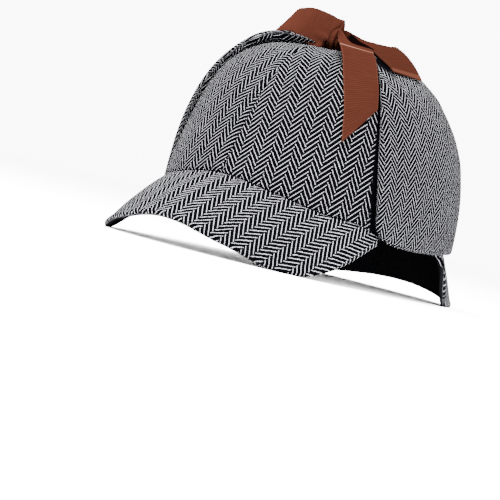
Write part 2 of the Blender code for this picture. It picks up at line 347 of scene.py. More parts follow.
@dataclass(frozen=True)
class HerringboneTweed:
    """Wool twill whose slanting ribs turn over at each column."""

    name: str
    light: tuple = (0.262, 0.262, 0.275, 1.0)
    grey: tuple = (0.12, 0.12, 0.127, 1.0)  # the light yarn's darker flecks
    dark: tuple = (0.0004, 0.0004, 0.0006, 1.0)
    soft_dark: tuple = (0.002, 0.002, 0.003, 1.0)  # the dark yarn's lighter flecks
    column: float = 6.4 * MM  # width of one slant
    rib: float = 4.05 * MM  # from one light rib to the next, along the warp
    rise: float = 1.29  # how far a rib climbs for each step across
    light_from: Pair = (0.79, 0.98)  # where in a rib the light yarn starts and is full
    pick: float = 1.55 * MM  # from one bead of yarn to the next, along the warp
    bead_slant: float = 0.7
    bead_depth: float = 0.72
    wobble: float = 0.55 * MM  # of the ribs
    wobble_grain: float = 520.0  # grains of noise per metre
    fleck_grain: float = 900.0
    age_grain: float = 14.0
    age: Pair = (0.90, 1.0)  # tone of the most and the least worn cloth
    relief: float = 0.25 * MM
    roughness: float = 0.95
    shades: tuple[PaintedCreaseShade | ShadedPatch, ...] = ()  # what lies in deep shade

    def material(self) -> Material:
        """The finish as a material."""
        board = ShaderBoard(self.name)
        across, along = board.weave_uv()
        place = board.joined(across, along)
        shake = (board.noise(place, self.wobble_grain, 3.0) - 0.5) * (self.wobble * 2.0)
        turn = across + shake * 0.6
        zigzag = turn.pingpong(self.column)
        parity = board.math("FLOORED_MODULO", board.math("FLOOR", turn / self.column), 2.0)
        phase = (zigzag * self.rise + (along + shake)) / self.rib + parity * 0.5
        rib = (phase.pingpong(0.5) * 2.0).ramp(*self.light_from)
        beads = ((along - zigzag * self.bead_slant) / self.pick).pingpong(0.5).ramp(0.0, 0.4)
        fleck = board.noise(place, self.fleck_grain)
        light = board.mix(fleck.ramp(0.40, 0.72), self.light, self.grey)
        light = board.mix(beads.rest() * self.bead_depth, light, self.dark)
        dark = board.mix(fleck.ramp(0.58, 0.80), self.dark, self.soft_dark)
        age = board.noise(board.object_point(), self.age_grain, 3.0).ramp(0.35, 0.7, *self.age)
        colour = board.mix(1.0, board.mix(rib, dark, light), board.grey(age), "MULTIPLY")
        # painted shade: each shade patch is darkened to the dark yarn's colour
        for shade in self.shades:
            colour = board.mix(shade.share(board), colour, self.dark)
        board.bump(rib * 0.6 + beads * 0.4, self.relief, 0.6)
        return board.dressed(colour, self.roughness)


@dataclass(frozen=True)
class Hollow:
    """Deep shade on one side of a slanting line along a ribbon."""

    start: float  # how far along the ribbon the shade starts and ends
    end: float
    along: float  # place of a point of the line
    across: float
    slope: float  # how far across the line moves for each step along
    fade: float = 3.0 * MM  # length over which the shade sets in and ends
    soft: Pair = (-1.0 * MM, 0.6 * MM)  # from full shade to none, beside the line

    def share(self, across: Signal, along: Signal) -> Signal:
        """How deep a place lies in the shade, 0 to 1."""
        beyond = across - self.across - (along - self.along) * self.slope
        begun = along.ramp(self.start, self.start + self.fade)
        return beyond.fall(*self.soft) * begun * along.fall(self.end - self.fade, self.end)


@dataclass(frozen=True)
class Grosgrain:
    """Ribbon with fine ribs across and firm edges."""

    name: str
    colour: tuple = (0.0118, 0.0034, 0.0021, 1.0)
    light: tuple = (0.0140, 0.0041, 0.0025, 1.0)
    edge: tuple = (0.032, 0.012, 0.0075, 1.0)
    furrow: tuple = (0.0042, 0.0013, 0.0009, 1.0)
    fold: float = -1.0  # how far along the ribbon a sharp fold lies, if it has one; a highlight is painted along it
    painted_fold_highlight: tuple = (0.060, 0.030, 0.022, 1.0)
    fold_slope: float = 0.0  # how much further along the fold runs for each step across
    # painted shade in hollows of the ribbon, in the deep colour below
    hollow: Hollow | None = None
    deep: tuple = (0.0005, 0.0002, 0.0002, 1.0)
    tone: float = 1.0  # painted light and shade: the whole ribbon made lighter or darker than the rest for how light falls on it
    hem: float = 0.0  # length of the lighter turned hem at the sewn end
    rib: float = 1.4 * MM
    wobble: float = 0.25 * MM  # of the ribs
    wobble_grain: float = 300.0  # grains of noise per metre
    streak_grain: float = 260.0
    streak_shape: Pair = (0.3, 4.0)  # how fine the streaks are across and along
    rim: Pair = (0.9 * MM, 0.3 * MM)  # how far in the firm edge starts and is full
    rim_share: float = 0.22
    relief: float = 0.12 * MM
    roughness: float = 0.62

    def material(self) -> Material:
        """The finish as a material."""
        board = ShaderBoard(self.name)
        across, along = board.weave_uv()
        shake = board.noise(board.joined(across, along), self.wobble_grain) * self.wobble
        ribs = ((along + shake) / self.rib).pingpong(0.5).ramp(0.0, 0.45)
        drawn = board.joined(across * self.streak_shape[0], along * self.streak_shape[1])
        streak = board.noise(drawn, self.streak_grain, 3.0)
        colour = board.mix(streak.ramp(0.3, 0.75), self.colour, self.light)
        colour = board.mix(ribs.rest() * 0.5, colour, self.furrow)
        rim = abs(across).ramp(*(0.5 * RIBBON_WIDTH - inward for inward in self.rim))
        colour = board.mix(rim * self.rim_share, colour, self.edge)
        # painted light and shade: the whole colour scaled by the tone
        colour = board.mix(1.0, colour, board.grey(self.tone), "MULTIPLY")
        # painted highlight: a lighter band along the sharp fold
        if self.fold > 0.0:
            beside = abs(along - (across * self.fold_slope + self.fold))
            colour = board.mix(beside.ramp(0.1 * MM, 0.6 * MM, 0.7, 0.0), colour, self.painted_fold_highlight)
        if self.hem > 0.0:
            colour = board.mix(along.ramp(self.hem, self.hem + 0.4 * MM, 0.3, 0.0), colour, self.edge)
        # painted shade: the hollow is darkened to the deep colour
        if self.hollow:
            colour = board.mix(self.hollow.share(across, along), colour, self.deep)
        board.bump(ribs, self.relief, 0.5)
        return board.dressed(colour, self.roughness)


@dataclass(frozen=True)
class CottonLining:
    """Dark cotton that lines the crown and the peaks."""

    name: str
    colour: tuple = (0.0018, 0.0018, 0.0022, 1.0)
    light: tuple = (0.0045, 0.0045, 0.0052, 1.0)
    thread: float = 0.7 * MM
    wear_grain: float = 40.0
    relief: float = 0.1 * MM
    roughness: float = 0.8

    def material(self) -> Material:
        """The finish as a material."""
        board = ShaderBoard(self.name)
        across, along = board.weave_uv()
        twill = ((across + along) / self.thread).pingpong(0.5).ramp(0.1, 0.4)
        worn = board.noise(board.object_point(), self.wear_grain, 3.0)
        board.bump(twill, self.relief, 0.4)
        return board.dressed(board.mix(twill * worn, self.colour, self.light), self.roughness)


# ---- Cloth bodies ----


@dataclass
class ClothBody:
    """A closed body of cloth, bent from a flat grid of two layers.

    Attributes:
        node: the CAD node whose place the body takes.
        place: points in the hat's frame for u across, v along and w through the cloth, each
            from 0 to 1, with w = 0 on the outer face.
        weave: metres across and along the warp for u and v.
    """

    name: str
    node: str
    slot: Slot
    mesh: tuple[int, int]  # faces across and along
    place: Place
    weave: Weave
    thick: float

    def build(self, finish: Material, inside: Material | None = None) -> Piece:
        """Model the body and link it to the scene.

        Args:
            finish: material of the outer face and the edges.
            inside: material of the inner face, where it isn't the same.

        Returns:
            The finished piece, at the origin.
        """
        shape = bmesh.new()
        bmesh.ops.create_grid(shape, x_segments=self.mesh[0], y_segments=self.mesh[1], size=0.5)
        bmesh.ops.translate(shape, verts=shape.verts, vec=(0.5, 0.5, 0.0))
        grown = bmesh.ops.extrude_face_region(shape, geom=shape.faces[:])
        layer = [item for item in grown["geom"] if isinstance(item, bmesh.types.BMVert)]
        bmesh.ops.translate(shape, verts=layer, vec=(0.0, 0.0, 1.0))
        self.map_weave(shape, inside is not None)
        flat = capped([vert.co for vert in shape.verts])
        points = self.place(*flat.T) + HAT_ORIGIN
        points[:, 2] = np.maximum(points[:, 2], 0.0)
        for vert, point in zip(shape.verts, points):
            vert.co = point
        bmesh.ops.recalc_face_normals(shape, faces=shape.faces)
        finishes = [finish] if inside is None else [finish, inside]
        return add_piece(self.name, shape, finishes, self.node, self.slot)

    def map_weave(self, shape: bmesh.types.BMesh, has_inside: bool) -> None:
        """Lay the cloth's weave on the flat grid, carried on over its edges."""
        layer = shape.loops.layers.uv.new("weave")
        corners = capped([loop.vert.co for face in shape.faces for loop in face.loops])
        faces = corners.reshape(-1, 4, 3)
        steps = np.ptp(faces, axis=1)
        edge = steps[:, 2] > 0.5
        over = np.zeros((len(faces), 2))
        for axis in (0, 1):
            outward = np.sign(faces[:, 0, axis] - 0.5)
            over[:, axis] = np.where(edge & (steps[:, axis] < 1.0e-6), outward, 0.0)
        flat = self.weave(corners[:, 0], corners[:, 1])
        flat += np.repeat(over, 4, axis=0) * corners[:, 2:] * self.thick
        inner = faces[:, :, 2].min(axis=1) > 0.5
        index = 0
        for number, face in enumerate(shape.faces):
            face.material_index = int(has_inside and inner[number])
            for loop in face.loops:
                loop[layer].uv = flat[index]
                index += 1


def add_piece(name: str, shape: bmesh.types.BMesh, finishes: list[Material], node: str, slot: Slot) -> Piece:
    """Turn a finished bmesh into a smooth piece that rides on the hat in place of a CAD node."""
    if shape.calc_volume(signed=True) < 0.0:
        bmesh.ops.reverse_faces(shape, faces=shape.faces)
    mesh = bpy.data.meshes.new(name)
    shape.to_mesh(mesh)
    shape.free()
    for finish in finishes:
        mesh.materials.append(finish)
    mesh.shade_smooth()
    mesh.set_sharp_from_angle(angle=SHARP_ANGLE)
    piece = bpy.data.objects.new(name, mesh)
    bpy.context.scene.collection.objects.link(piece)
    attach(piece, "root")
    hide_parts(node)
    log.info("%s: %d faces", name, len(mesh.polygons))
    return piece


def rounded(inward: Array, radius: float) -> Array:
    """Share of the full thickness at a distance from a rounded edge."""
    return np.maximum(np.sqrt(1.0 - (1.0 - capped(inward / radius)) ** 2), THIN_EDGE)


def past_edge(inward: Array, radius: float, half_thick: float) -> Array:
    """Distance from a rounded edge as the cloth runs over it, less than nothing on the round."""
    bend = math.sqrt((radius**2 + half_thick**2) / 2.0)
    round_angle = np.arccos(1.0 - capped(inward / radius))
    return np.where(inward < radius, radius - bend * (0.5 * math.pi - round_angle), inward)


def lengths_along(points: Array) -> Array:
    """Length from the first point to each point of a line."""
    steps = np.linalg.norm(np.diff(points, axis=0), axis=1)
    return np.concatenate(([0.0], np.cumsum(steps)))


def distance(first: Array, second: Array) -> float:
    """Distance between two points."""
    return float(np.linalg.norm(second - first))


def read_line(points: Array, shares: Array, where: Array) -> Array:
    """Points of a line at the shares asked for."""
    return np.stack([np.interp(where, shares, column) for column in points.T], axis=1)


def across_at(surface: Surface, u: Array, v: Array) -> tuple[Array, Array]:
    """Width of a surface at each place, and how far in from its nearer side the place lies."""
    sides = [surface(np.full_like(v, end), v) for end in (0.0, 1.0)]
    width = np.linalg.norm(sides[1] - sides[0], axis=1)
    return width, (0.5 - np.abs(u - 0.5)) * width


@dataclass
class WarpLine:
    """Weave of a panel whose warp follows its middle line."""

    surface: Surface
    lean: float = 0.0  # radians that the warp leans off the middle line
    across: Callable[[Array, Array, Array], Array] = lambda width, u, v: width
    samples: int = 400

    def __call__(self, u: Array, v: Array) -> Array:
        """Metres across and along the warp at each place."""
        shares = np.linspace(0.0, 1.0, self.samples)
        line = self.surface(np.full_like(shares, 0.5), shares)
        ahead = unit(np.gradient(line, axis=0))
        lengths = lengths_along(line)
        middle = self.surface(np.full_like(u, 0.5), v)
        heading = unit(read_line(ahead, shares, v))
        offset = self.surface(u, v) - middle
        climb = np.sum(offset * heading, axis=1)
        width = np.linalg.norm(offset - climb[:, None] * heading, axis=1) * np.sign(u - 0.5)
        along = np.interp(v, shares, lengths) + climb
        return turned(np.stack([self.across(width, u, v), along], axis=1), self.lean)


def turned(flat: Array, angle: float) -> Array:
    """Flat points turned about the origin, clockwise for a positive angle."""
    across, along = flat.T
    turn_cos, turn_sin = math.cos(angle), math.sin(angle)
    return np.stack([across * turn_cos + along * turn_sin, along * turn_cos - across * turn_sin], axis=1)


def apart(first: Array, second: Array, to_first: float, to_second: float, side: float) -> Array:
    """Flat point at two distances from two others, on one side of the line between them."""
    line = second - first
    base = distance(first, second)
    ahead = (to_first**2 - to_second**2 + base**2) / (2.0 * base)
    aside = math.sqrt(max(to_first**2 - ahead**2, 0.0))
    line = line / base
    return first + line * ahead + np.array([line[1], -line[0]]) * aside * side


@dataclass
class UnrolledStrip:
    """Weave of a curved strip, laid flat by unrolling it both ways from its middle."""

    surface: Surface
    lean: float = 0.0  # radians that the warp leans off the middle line
    samples: int = 241

    def __call__(self, u: Array, v: Array) -> Array:
        """Metres across and along the warp at each place."""
        shares = np.linspace(0.0, 1.0, self.samples)
        near = self.surface(shares, np.zeros_like(shares))
        far = self.surface(shares, np.ones_like(shares))
        middle = self.samples // 2
        flat_near, flat_far = np.zeros((self.samples, 2)), np.zeros((self.samples, 2))
        flat_far[middle, 1] = distance(near[middle], far[middle])
        for step in (1, -1):
            last = self.samples - 1 if step == 1 else 0
            for index in range(middle, last, step):
                here, there = flat_near[index], flat_far[index]
                new_near, new_far = near[index + step], far[index + step]
                to_here, to_there = distance(near[index], new_near), distance(far[index], new_near)
                flat_near[index + step] = apart(here, there, to_here, to_there, step)
                to_near, to_there = distance(new_near, new_far), distance(far[index], new_far)
                flat_far[index + step] = apart(flat_near[index + step], there, to_near, to_there, step)
        start, end = read_line(flat_near, shares, u), read_line(flat_far, shares, u)
        return turned(start + (end - start) * v[:, None], self.lean)


# ---- Crown ----


@dataclass(frozen=True)
class CrownForm:
    """Outside form of the crown, shared by the pieces on it."""

    half_length: float = 101.5 * MM
    half_width: float = 87.0 * MM
    height: float = 111.7 * MM
    lean: float = 19.0 * MM  # how far forward of the rim's middle the top sits
    plan_front: float = 2.25  # squareness from above: 2 is an ellipse
    plan_back: float = 2.0
    shoulder: tuple[float, float, float] = (2.56, 3.07, 2.27)  # front, side, back: higher is boxier
    taper: tuple[float, float, float] = (0.31, 0.04, 0.0)
    way_up: float = math.radians(60.0)  # angle at which the way up the side is measured
    samples: int = 4000
    rim_arch: tuple = (
        (0.0, 19.0 * MM),
        (20.0, 14.7 * MM),
        (40.0, 9.0 * MM),
        (55.0, 7.3 * MM),
        (70.0, 0.6 * MM),
        (95.0, 0.0),
        (140.0, 8.6 * MM),
        (180.0, 19.0 * MM),
    )  # angle from the centre front in degrees, height over the rim at the ears

    def rim(self, angle: Array) -> Array:
        """Height of the rim at each angle from the centre front."""
        degrees = np.abs((np.degrees(angle) + 180.0) % 360.0 - 180.0)
        return Curve(self.rim_arch, level_ends="both").at(degrees)

    def around(self, values: tuple[float, float, float], angle: Array) -> Array:
        """Blend a front, side and back value at each angle."""
        front, side, back = values
        end = np.where(np.cos(angle) > 0.0, front, back)
        return side + (end - side) * np.cos(angle) ** 2

    def point(self, angle: Array, level: Array, swell: Array | float = 0.0) -> Array:
        """Points of the crown.

        Args:
            angle: radians from the centre front towards the wearer's left.
            level: share of the crown's height.
            swell: distance outward of the crown's own surface.

        Returns:
            One point in the hat's frame for each angle.
        """
        top = self.height + swell
        power = self.around(self.shoulder, angle)
        plan = np.where(np.cos(angle) > 0.0, self.plan_front, self.plan_back)
        ahead = np.abs(np.cos(angle)) / (self.half_length + swell)
        aside = np.abs(np.sin(angle)) / (self.half_width + swell)
        radius = (ahead**plan + aside**plan) ** (-1.0 / plan)
        radius *= np.maximum(1.0 - level**power, 0.0) ** (1.0 / power)
        radius *= 1.0 - self.around(self.taper, angle) * level
        foot = self.rim(angle)
        return np.stack([
            radius * np.sin(angle),
            -radius * np.cos(angle) - self.lean * level**2,
            foot + (top - foot) * level,
        ], axis=-1)

    def levels(self, tip_radius: float) -> tuple[Array, Array]:
        """Levels up to a radius near the top, and their shares of the way up the side."""
        levels = 1.0 - np.linspace(1.0, 0.0, self.samples) ** 4
        points = self.point(np.full_like(levels, self.way_up), levels)
        lengths = lengths_along(points)
        from_top = np.hypot(points[:, 0], points[:, 1] + self.lean)
        reached = int(np.argmax((from_top < tip_radius) & (levels > 0.5)))
        return levels[: reached + 1], lengths[: reached + 1] / lengths[reached]


@dataclass
class Crown:
    """Six tweed gores sewn into a round crown."""

    form: CrownForm
    panels: int = 6
    cloth: float = 2.0 * MM
    top_radius: float = 0.9 * MM
    puff: float = 0.5 * MM  # how far the cloth swells beside a seam
    puff_at: float = 4.0 * MM  # how far in from the seam it swells most
    puff_reach: float = 3.0 * MM
    puff_width: float = 30.0 * MM  # width of a gore from which it swells in full
    valley: float = 2.2 * MM  # reach of the dip along a seam
    rim_round: float = 1.6 * MM
    unevenness: float = 0.35 * MM
    even_reach: float = 9.0 * MM  # how far in from a seam the unevenness is full
    length: float = 150.0 * MM  # rough length of a gore
    crowding: Pair = (0.8, 0.35)  # of the mesh towards the seams and towards the ends
    leans: tuple = (-6.0, 0.0, 0.0, 0.0, 0.0, 6.0)  # degrees that each gore's warp leans off its middle
    mesh: tuple[int, int] = (34, 60)

    def build(self, finish: Material, lining: Material) -> list[Piece]:
        """Model every gore."""
        return [self.build_gore(index, finish, lining) for index in range(self.panels)]

    def build_gore(self, index: int, finish: Material, lining: Material) -> Piece:
        """Model one gore and measure its cut."""
        levels, shares = self.form.levels(self.top_radius)
        wedge = TURN / self.panels

        def surface(u: Array, v: Array, swell: Array | float = 0.0) -> Array:
            level = np.interp(v, shares, levels)
            seam = self.form.point(np.full_like(v, (index + 0.5) * wedge), level)
            radius = np.hypot(seam[:, 0], seam[:, 1] + self.form.lean * level**2)
            inset = 0.5 * GAP / np.maximum(radius, self.top_radius / 2.0)
            angle = index * wedge + inset + (wedge - 2.0 * inset) * u
            return self.form.point(angle, level, swell)

        def place(u: Array, v: Array, w: Array) -> Array:
            u, v = crowded(u, v, self.crowding)
            width, beside = across_at(surface, u, v)
            share = rounded(beside, self.valley) * rounded(v * self.length, self.rim_round)
            bulge = np.exp(-(((beside - self.puff_at) / self.puff_reach) ** 2))
            swelling = self.puff * bulge * capped(width / self.puff_width)
            x, y, z = surface(u, v).T
            swelling += self.unevenness * ripple(x + y, z, index) * capped(beside / self.even_reach)
            offset = -0.5 * self.cloth + 0.5 * self.cloth * share * (1.0 - 2.0 * w) + swelling
            return surface(u, v, offset)

        def weave(u: Array, v: Array) -> Array:
            return WarpLine(surface, math.radians(self.leans[index]))(*crowded(u, v, self.crowding))

        name, node = f"crown_gore_{index + 1}", f"crown_panel_{index + 1}"
        body = ClothBody(name, node, Slot.CROWN, self.mesh, place, weave, self.cloth)
        gore = body.build(finish, lining)
        width, length, area = cut_of(surface)
        return gore


def cut_of(surface: Surface) -> tuple[float, float, float]:
    """Width, length and area of a cloth's cut, from its outer face."""
    count = 61
    u, v = np.meshgrid(np.linspace(0.0, 1.0, count), np.linspace(0.0, 1.0, count))
    grid = surface(u.ravel(), v.ravel()).reshape(count, count, 3)
    across = np.linalg.norm(np.diff(grid, axis=1), axis=2).sum(axis=1)
    along = np.linalg.norm(np.diff(grid, axis=0), axis=2).sum(axis=0)
    one = grid[1:, 1:] - grid[:-1, :-1]
    other = grid[1:, :-1] - grid[:-1, 1:]
    area = 0.5 * np.linalg.norm(np.cross(one, other), axis=2).sum()
    width, length = float(across.max()), float(along.max())
    return width, length, float(min(area, width * length))


# ---- Peaks and flaps ----


@dataclass
class Peak:
    """A stiff peak with a thick turned edge."""

    form: CrownForm
    name: str
    node: str
    centre: float
    fan: float  # 0 reaches straight ahead, 1 straight away from the crown
    sections: tuple  # degrees from the peak's middle, reach outward, drop below the rim
    thick: float = 3.0 * MM
    bead: float = 1.3 * MM  # how much thicker the turned edge is
    bead_at: float = 2.2 * MM  # how far in from the edge it is thickest, and how far it reaches from there
    camber: float = 2.2 * MM
    full_reach: float = 20.0 * MM  # reach of the peak from which its bead and camber are full
    edge_round: float = 2.4 * MM
    root_round: float = 0.8 * MM
    root_inset: float = 1.0 * MM
    tuck: float = 1.0 * MM  # how far the root reaches in past the crown's edge
    unevenness: float = 0.25 * MM
    even_root: float = 1.0 / 3.0  # share of the way to the edge over which it sets in
    seed: int = 11
    warp_lean: float = math.radians(6.0)
    crowding: float = 0.3  # of the mesh towards the peak's ends
    edge_crowding: float = 1.8  # and towards its free edge
    mesh: tuple[int, int] = (120, 30)

    def middle(self, u: Array, v: Array) -> Array:
        """Points midway through the cloth, from the root under the rim to the free edge."""
        limit = self.sections[-1][0]
        offset = (2.0 * u - 1.0) * limit
        angle = self.centre + np.radians(offset)
        reach = Curve(self.sections, 1, level_ends="first").at(np.abs(offset))
        drop = Curve(self.sections, 2, level_ends="first").at(np.abs(offset))
        slope = np.arctan2(drop, reach)
        heading = self.centre + np.radians(offset) * self.fan
        flat = np.zeros_like(angle)
        ahead = np.stack([np.sin(heading), -np.cos(heading), flat], axis=-1)
        outward = np.stack([np.sin(angle), -np.cos(angle), flat], axis=-1)
        up = np.array([0.0, 0.0, 1.0])
        rim = self.form.point(angle, flat)
        half = 0.5 * self.thick
        lean = ahead * np.sin(slope)[:, None] + up * np.cos(slope)[:, None]
        seam = rim - outward * (self.root_inset + half * np.sin(slope))[:, None]
        seam -= up * (GAP + half * np.cos(slope))[:, None]
        edge = rim + ahead * reach[:, None] - up * drop[:, None] + lean * half
        root = seam - unit(edge - seam) * self.tuck
        camber = self.camber * np.minimum(1.0, reach / self.full_reach) * 4.0 * v * (1.0 - v)
        return root + (edge - root) * v[:, None] + lean * camber[:, None]

    def normal(self, u: Array, v: Array) -> Array:
        """Upward normals of the middle surface."""
        step = 1.0e-3
        high, low = np.minimum(u + step, 1.0), np.maximum(u - step, 0.0)
        sideways = self.middle(high, v) - self.middle(low, v)
        outward = self.middle(u, v + step) - self.middle(u, v - step)
        normal = unit(np.cross(outward, sideways))
        return normal * np.where(normal[:, 2:] < 0.0, -1.0, 1.0)

    def build(self, finish: Material, lining: Material) -> Piece:
        """Model the peak."""

        def eased(u: Array, v: Array) -> tuple[Array, Array]:
            return spread_to_edges(u, self.crowding), 1.0 - (1.0 - v) ** self.edge_crowding

        def place(u: Array, v: Array, w: Array) -> Array:
            u, v = eased(u, v)
            point = self.middle(u, v)
            whole = self.middle(u, np.ones_like(v)) - self.middle(u, np.zeros_like(v))
            length = np.linalg.norm(whole, axis=1)
            to_edge = (1.0 - v) * length
            bulge = np.exp(-(((to_edge - self.bead_at) / self.bead_at) ** 2))
            bead = self.bead * bulge * capped(length / self.full_reach)
            share = rounded(to_edge, self.edge_round) * rounded(v * length, self.root_round)
            uneven = self.unevenness * ripple(*point.T[:2], self.seed) * capped(v / self.even_root)
            offset = (self.thick + bead) * share * (0.5 - w) + uneven
            return point + self.normal(u, v) * offset[:, None]

        def weave(u: Array, v: Array) -> Array:
            return UnrolledStrip(self.middle, self.warp_lean)(*eased(u, v))

        body = ClothBody(self.name, self.node, Slot.PEAK, self.mesh, place, weave, self.thick)
        return body.build(finish, lining)


@dataclass
class EarFlap:
    """A padded ear flap, folded up against the crown."""

    form: CrownForm
    side: Side
    edges: tuple = (
        (0.0, 60.8, 124.0),
        (0.17, 58.8, 126.5),
        (0.44, 57.3, 128.0),
        (0.69, 59.3, 126.0),
        (0.80, 61.5, 124.0),
        (0.89, 66.0, 120.0),
        (0.97, 74.0, 114.0),
        (1.0, 84.0, 106.0),
    )  # level, angle of the front edge and of the rear edge
    thick: float = 5.4 * MM
    clearance: float = 0.7 * MM
    tip_radius: float = 15.0 * MM
    length: float = 150.0 * MM  # rough length from the fold to the tip
    fold_height: float = 2.0 * MM  # Z that the outer side of the fold hangs down to
    fold_level: float = 0.25  # level up to which it hangs
    lift: float = 2.6 * MM  # how far the tip stands off the crown
    lift_from: float = 0.82  # level from which it does
    curl: float = 0.0  # how far the front edge rolls off the crown near the tip
    curl_at: Pair = (0.85, 0.17)  # share of the length where it rolls most, and its reach
    curl_width: float = 0.45  # share of the width that rolls
    edge_radius: float = 3.0 * MM
    pillow: float = 0.7 * MM
    unevenness: float = 0.45 * MM
    seed: int = 5
    full_inside: float = 14.0 * MM  # how far in from the edges the pillow is full
    corner: float = 3.0  # degrees taken off at the fold's corners
    corner_level: float = 0.05  # level up to which they are taken off
    tip_pinch: float = 0.0  # share of the padding that the tie squeezes out of the front of the tip
    pinch: Pair = (0.62, 0.78)  # shares of the length where the pinch starts and is full
    pinch_width: Pair = (0.75, 0.35)  # shares of the width where it ends and is full
    weave_across: Pair = (1.16, -2.8)  # weave for each metre across, and its change per metre
    warp_lean: float = math.radians(-6.0)
    crowding: Pair = (1.0, 0.9)  # of the mesh towards the sides and the ends
    mesh: tuple[int, int] = (52, 70)

    def build(self, finish: Material) -> Piece:
        """Model the flap."""
        levels, shares = self.form.levels(self.tip_radius)

        def surface(u: Array, v: Array, outer: Array | float = 0.5, puff: Array | float = 0.0) -> Array:
            level = np.interp(v, shares, levels)
            corner = self.corner * capped(1.0 - level / self.corner_level) ** 2
            front = Curve(self.edges, 1).at(level) + corner
            rear = Curve(self.edges, 2).at(level) - corner
            angle = np.radians(front + (rear - front) * u)
            lift = self.lift * (np.maximum(level - self.lift_from, 0.0) / (1.0 - self.lift_from)) ** 2
            roll = np.exp(-(((v - self.curl_at[0]) / self.curl_at[1]) ** 2))
            lift += self.curl * roll * capped(1.0 - u / self.curl_width)
            point = self.form.point(angle, level, self.clearance + lift + self.thick * outer + puff)
            sag = np.maximum(self.form.rim(angle) - self.fold_height, 0.0)
            point[:, 2] -= sag * (1.0 - np.minimum(level / self.fold_level, 1.0)) * outer
            point[:, 0] *= self.side.value
            return point

        def place(u: Array, v: Array, w: Array) -> Array:
            u, v = crowded(u, v, self.crowding)
            width, beside = across_at(surface, u, v)
            ends = np.minimum(v, 1.0 - v) * self.length
            share_left = 1.0 - self.tip_pinch * between(v, *self.pinch) * between(u, *self.pinch_width)
            share = rounded(beside, self.edge_radius) * rounded(ends, self.edge_radius) * share_left
            inside = capped(np.minimum(beside, ends) / self.full_inside)
            puff = self.pillow + self.unevenness * ripple(u * width, v * self.length, self.seed)
            outer = 0.5 + share * (0.5 - w) - 0.5 * (1.0 - share_left)
            return surface(u, v, outer, puff * inside * (1.0 - w) * share_left)

        def over_edge(width: Array, u: Array, v: Array) -> Array:
            beside = across_at(surface, u, v)[1]
            extra = beside - past_edge(beside, self.edge_radius, 0.5 * self.thick)
            width = width + np.sign(u - 0.5) * extra
            return self.weave_across[0] * width + self.weave_across[1] * width**2

        def weave(u: Array, v: Array) -> Array:
            return WarpLine(surface, self.warp_lean, over_edge)(*crowded(u, v, self.crowding))

        node = f"ear_flap_{self.side.name.lower()}"
        body = ClothBody(f"{node}_padded", node, Slot.FLAP, self.mesh, place, weave, self.thick)
        flap = body.build(finish)
        return flap


# ---- Ribbon ----


@dataclass
class Ribbon:
    """A length of grosgrain through its stations, gathered into pleats where it narrows."""

    name: str
    node: str
    stations: tuple  # middle (x, y, z) in mm, direction across (x, y, z), share of the width
    rests_on: tuple[str, ...] = ()
    cut: float = 0.0  # the slanting end is this much longer on one side
    pleats: float = 2.5  # across the ribbon
    pleat_depth: float = 3.0 * MM
    pleat_shift: float = 0.0
    gather_under: float = 0.85  # share of the width under which pleats form
    pucker: float = 0.0  # depth of the short creases along one edge, at the knot
    pucker_from: Pair = (0.72, 0.92)  # shares of the length where they start and are full
    pucker_width: float = 2.0 / 3.0  # share of the width that they cross
    pucker_waves: Pair = (3.2, 0.2)  # their number across the ribbon, and their shift
    cut_bend: int = 8  # how late along the ribbon the slant of the cut sets in
    width: float = RIBBON_WIDTH
    thick: float = 0.8 * MM
    mesh: tuple[int, int] = (40, 110)

    def build(self, finish: Material) -> Piece:
        """Model the ribbon and measure its cut."""
        ribbon, surface = self.model(finish)
        _, length, area = cut_of(surface)
        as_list(self.rests_on)
        return ribbon

    def model(self, finish: Material) -> tuple[Piece, Surface]:
        """Model the ribbon.

        Args:
            finish: material of both faces.

        Returns:
            The piece, and the surface midway through it.
        """
        points = np.array([row[:3] for row in self.stations]) * MM
        lengths = lengths_along(points)
        table = tuple((length, *row) for length, row in zip(lengths, self.stations))
        curves = [Curve(table, column) for column in range(1, 8)]
        step = 1.0e-3

        def read(v: Array) -> list[Array]:
            return [curve.at(v * lengths[-1]) for curve in curves]

        def middle(v: Array) -> Array:
            return np.stack(read(v)[:3], axis=1) * MM

        def surface(u: Array, v: Array, raised: Array | float = 0.0) -> Array:
            values = read(v)
            crosswise = unit(np.stack(values[3:6], axis=1))
            share = values[6]
            ahead = unit(middle(np.minimum(v + step, 1.0)) - middle(np.maximum(v - step, 0.0)))
            crosswise = unit(crosswise - ahead * np.sum(crosswise * ahead, axis=1)[:, None])
            normal = np.cross(ahead, crosswise)
            beside = crosswise * (self.width * share * (u - 0.5))[:, None]
            slant = ahead * (self.cut * (0.5 - u) * v**self.cut_bend)[:, None]
            waves = self.pleats * (u - 0.5) - self.pleat_shift
            folds = self.pleat_depth * capped(self.gather_under - share) * np.cos(TURN * waves)
            pucker = between(v, *self.pucker_from) * capped(1.0 - u / self.pucker_width)
            waves = self.pucker_waves[0] * u - self.pucker_waves[1]
            folds += self.pucker * pucker * np.cos(TURN * waves)
            return middle(v) + beside + slant + normal * (folds + raised)[:, None]

        def place(u: Array, v: Array, w: Array) -> Array:
            return surface(u, v, self.thick * (0.5 - w))

        def weave(u: Array, v: Array) -> Array:
            return np.stack([self.width * (u - 0.5), lengths[-1] * v], axis=1)

        body = ClothBody(self.name, self.node, Slot.RIBBON, self.mesh, place, weave, self.thick)
        return body.build(finish), surface


